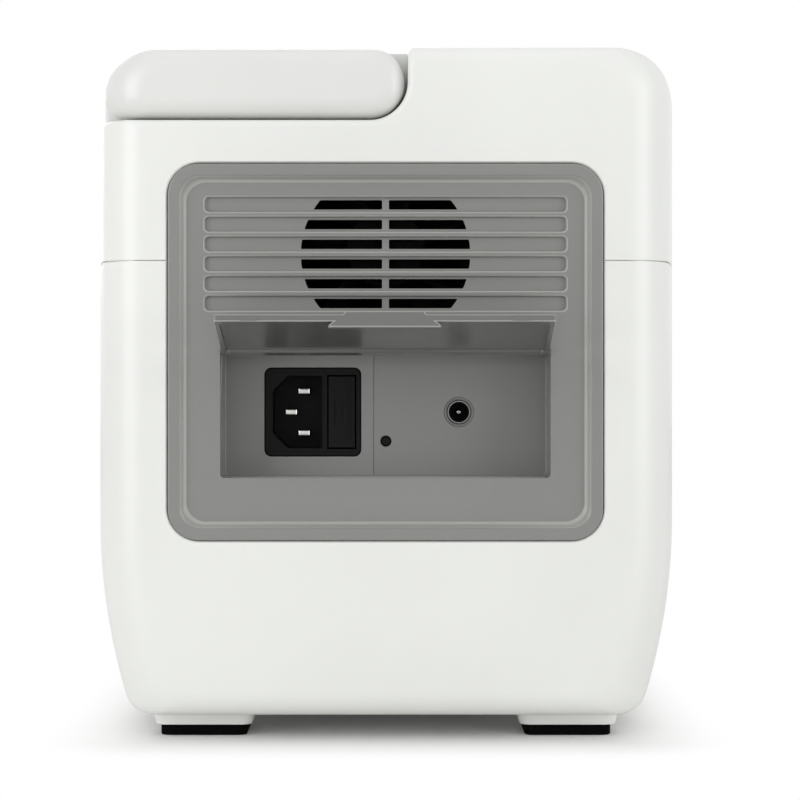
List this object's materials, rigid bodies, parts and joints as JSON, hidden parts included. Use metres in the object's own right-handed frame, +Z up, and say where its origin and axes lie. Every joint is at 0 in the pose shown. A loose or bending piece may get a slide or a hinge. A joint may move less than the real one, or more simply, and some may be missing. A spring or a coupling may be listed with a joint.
{
  "type": "thermal cycler",
  "caption": "Compact bench-top thermal cycler with a side-hinged heated lid, a sample block for tubes, a vented rear panel, and a covered connector bay whose flap stands open.",
  "frame": {"origin": "on the bench under the middle of the whole object's footprint, with the bay flap standing open as stored", "axes": "+Z up; the front with the display faces -Y and the rear panel faces +Y; the lid is on the +X side"},
  "size_m": [0.204, 0.2918, 0.225],
  "materials": {
    "white_case": "satin",
    "white_lid": "satin",
    "panel_grey": "satin",
    "flap_grey": "satin",
    "black_plastic": "satin",
    "liner_grey": "satin",
    "foot_rubber": "matte",
    "screen_glass": "gloss",
    "display_steel": "brushed",
    "board_green": "gloss",
    "contact_steel": "polished",
    "sheet_steel": "brushed",
    "block_aluminium": "bead blasted",
    "sink_aluminium": "satin",
    "ceramic_white": "matte",
    "heater_orange": "satin",
    "fuse_clear": "clear",
    "switch_white": "satin",
    "part_yellow": "satin"
  },
  "bodies": {
    "case": {"lower_case": "white_case", "upper_case": "white_case", "hinge_knuckles": "white_case", "rubber_feet": "foot_rubber", "foot_screws": "contact_steel", "rear_panel": "panel_grey", "panel_screws": "contact_steel", "mains_inlet": "black_plastic", "inlet_blades": "contact_steel", "jack_body": "black_plastic", "jack_sleeve": "contact_steel", "jack_pin": "contact_steel", "front_bezel": "panel_grey", "display_glass": "screen_glass", "display_panel": "display_steel", "display_board": "board_green", "power_switch": "black_plastic", "usb_socket": "contact_steel", "lid_hinge_pins": "contact_steel", "keeper_plates": "sheet_steel", "sample_block": "block_aluminium", "block_surround": "liner_grey", "peltier_modules": "ceramic_white", "block_screws": "contact_steel", "heat_sink": "sink_aluminium", "sink_cradle_front": "sheet_steel", "sink_cradle_rear": "sheet_steel", "air_duct": "black_plastic", "fan_frame": "black_plastic", "fan_screws": "contact_steel", "board_bracket": "sheet_steel", "main_board": "board_green", "board_parts": "black_plastic", "board_spacers": "contact_steel", "supply_chassis": "sheet_steel", "supply_parts": "part_yellow", "supply_spacers": "contact_steel"},
    "lid": {"lid_cover": "white_lid", "lid_liner": "liner_grey", "pressure_frame": "sheet_steel", "lid_magnets": "contact_steel"},
    "press_plate": {"heated_plate": "block_aluminium", "heater_mat": "heater_orange", "plate_screws": "contact_steel", "plate_springs": "contact_steel"},
    "flap": {"bay_flap": "flap_grey"},
    "drawer": {"fuse_drawer": "black_plastic", "fuse": "fuse_clear"},
    "fan": {"fan_rotor": "black_plastic"},
    "power": {"power_button": "switch_white"},
    "reset": {"reset_button": "black_plastic"}
  },
  "joints": [
    {"name": "lid_hinge", "type": "hinge", "parent": "case", "child": "lid", "pos_m": [0.005, -0.02011, 0.2133], "axis": [0, -1, 0], "range_deg": [0, 90]},
    {"name": "plate_float", "type": "slide", "parent": "lid", "child": "press_plate", "axis": [0, 0, 1], "range_m": [0, 0.0025], "stiffness_N_per_m": 4000, "springref_m": -0.0015, "deforming": ["plate_springs"]},
    {"name": "flap_hinge", "type": "hinge", "parent": "case", "child": "flap", "pos_m": [0, 0.10114, 0.1261], "axis": [1, 0, 0], "range_deg": [-104, 0]},
    {"name": "fuse_drawer_slide", "type": "slide", "parent": "case", "child": "drawer", "axis": [0, 1, 0], "range_m": [0, 0.016]},
    {"name": "fan_spin", "type": "hinge", "parent": "case", "child": "fan", "pos_m": [0, 0.09189, 0.1598], "axis": [0, 1, 0], "continuous": true},
    {"name": "power_press", "type": "slide", "parent": "case", "child": "power", "axis": [0, 1, 0], "range_m": [0, 0.0015], "stiffness_N_per_m": 600, "springref_m": -0.001},
    {"name": "reset_press", "type": "slide", "parent": "case", "child": "reset", "axis": [0, -1, 0], "range_m": [0, 0.001], "stiffness_N_per_m": 500, "springref_m": -0.001}
  ]
}
